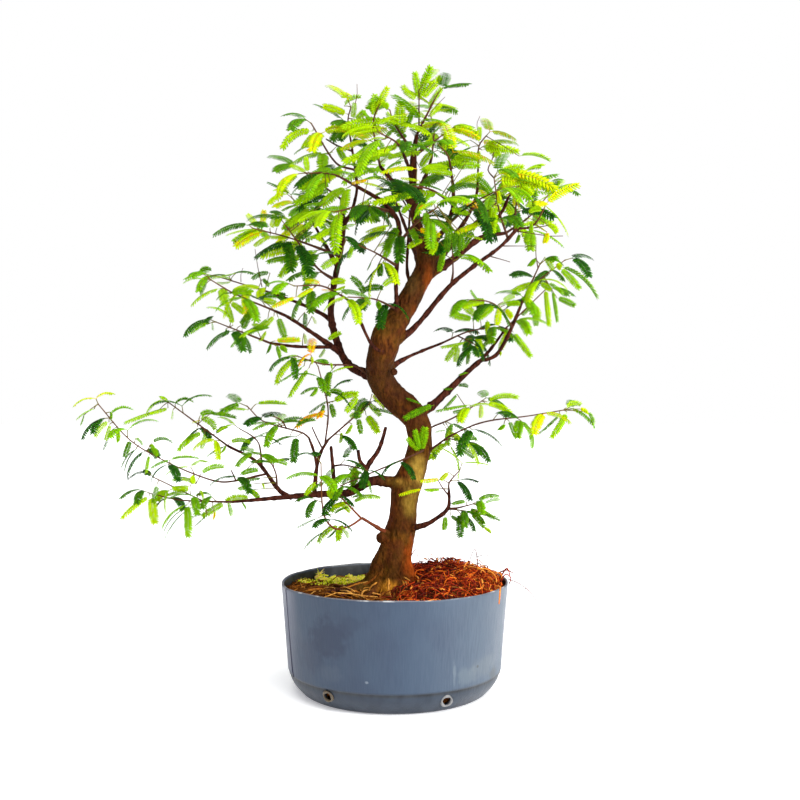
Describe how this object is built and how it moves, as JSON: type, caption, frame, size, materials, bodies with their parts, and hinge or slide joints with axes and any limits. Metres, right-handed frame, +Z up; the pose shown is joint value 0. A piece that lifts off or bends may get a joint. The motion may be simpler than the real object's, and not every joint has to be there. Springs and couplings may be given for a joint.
{
  "type": "pink powder puff bonsai in a training pot",
  "caption": "Powder puff tree trained as a bonsai: S-shaped trunk, spreading boughs and feathery paired leaves, rooted in soil in a round plastic training pot.",
  "frame": {"origin": "centre of the underside of the pot", "axes": "+Z up the tree, -Y towards the front from which the tree is viewed, +X to the viewer's right"},
  "size_m": [0.5627, 0.3031, 0.6822],
  "materials": {
    "pot_plastic": "worn satin, slate blue-grey",
    "soil": "loose fibrous potting mix",
    "bark": "rough brown bark",
    "leaf": "soft satin green leaf"
  },
  "bodies": {
    "root": {"pot": "pot_plastic", "soil": "soil", "trunk": "bark", "twig_lowLeftTip": "leaf", "twig_longDroopingTip": "leaf", "twig_lowLeftRiserTip": "leaf", "twig_lowLeftRiserSide": "leaf", "twig_lowLeftUprightLeft": "leaf", "twig_lowLeftUprightRight": "leaf", "twig_lowLeftUprightMiddle": "leaf", "twig_knobShootTips": "leaf", "twig_lowLeftInner": "leaf", "twig_stubTwig": "leaf", "twig_twigAcrossTrunk": "leaf", "twig_rightLong": "leaf", "twig_rightShort": "leaf", "twig_lowRightTips": "leaf", "twig_lowRightTop": "leaf", "twig_rightForkTop": "leaf", "twig_rightForkBackTip": "leaf", "twig_rightForkInner": "leaf", "twig_midRightTip": "leaf", "twig_upperMidRightUpright": "leaf", "twig_upperMidRightTip": "leaf", "twig_upperMidRightRiser": "leaf", "twig_rightRim": "leaf", "twig_upperRightTip": "leaf", "twig_leaderTop": "leaf", "twig_leaderLeft": "leaf", "twig_leaderRight": "leaf", "twig_topLeft": "leaf", "twig_topMiddle": "leaf", "twig_topLeftLong": "leaf", "twig_leftUpper": "leaf", "twig_frontLeftUpper": "leaf", "twig_farLeft": "leaf", "twig_leftFront": "leaf", "twig_leftArmLowTip": "leaf", "twig_leftArmFrontTip": "leaf", "twig_leftArmBackTip": "leaf", "twig_redShootTip": "leaf", "twig_thinLeft": "leaf", "twig_frontUprightSide": "leaf", "twig_lowLeftHanging": "leaf", "twig_crownRightFront": "leaf", "twig_crownRightBack": "leaf", "twig_crownRight": "leaf", "twig_crownRightLow": "leaf", "twig_crownBackTip": "leaf", "twig_crownFrontTip": "leaf", "twig_leftBackTip": "leaf", "twig_highBackTip": "leaf", "twig_rightBackTip": "leaf", "twig_crownFrontMiddle": "leaf", "twig_crownFrontLeft": "leaf", "twig_leftBackLow": "leaf", "twig_crownFrontHigh": "leaf", "twig_crownBackRightTip": "leaf", "twig_backUprightTip": "leaf"}
  },
  "joints": []
}
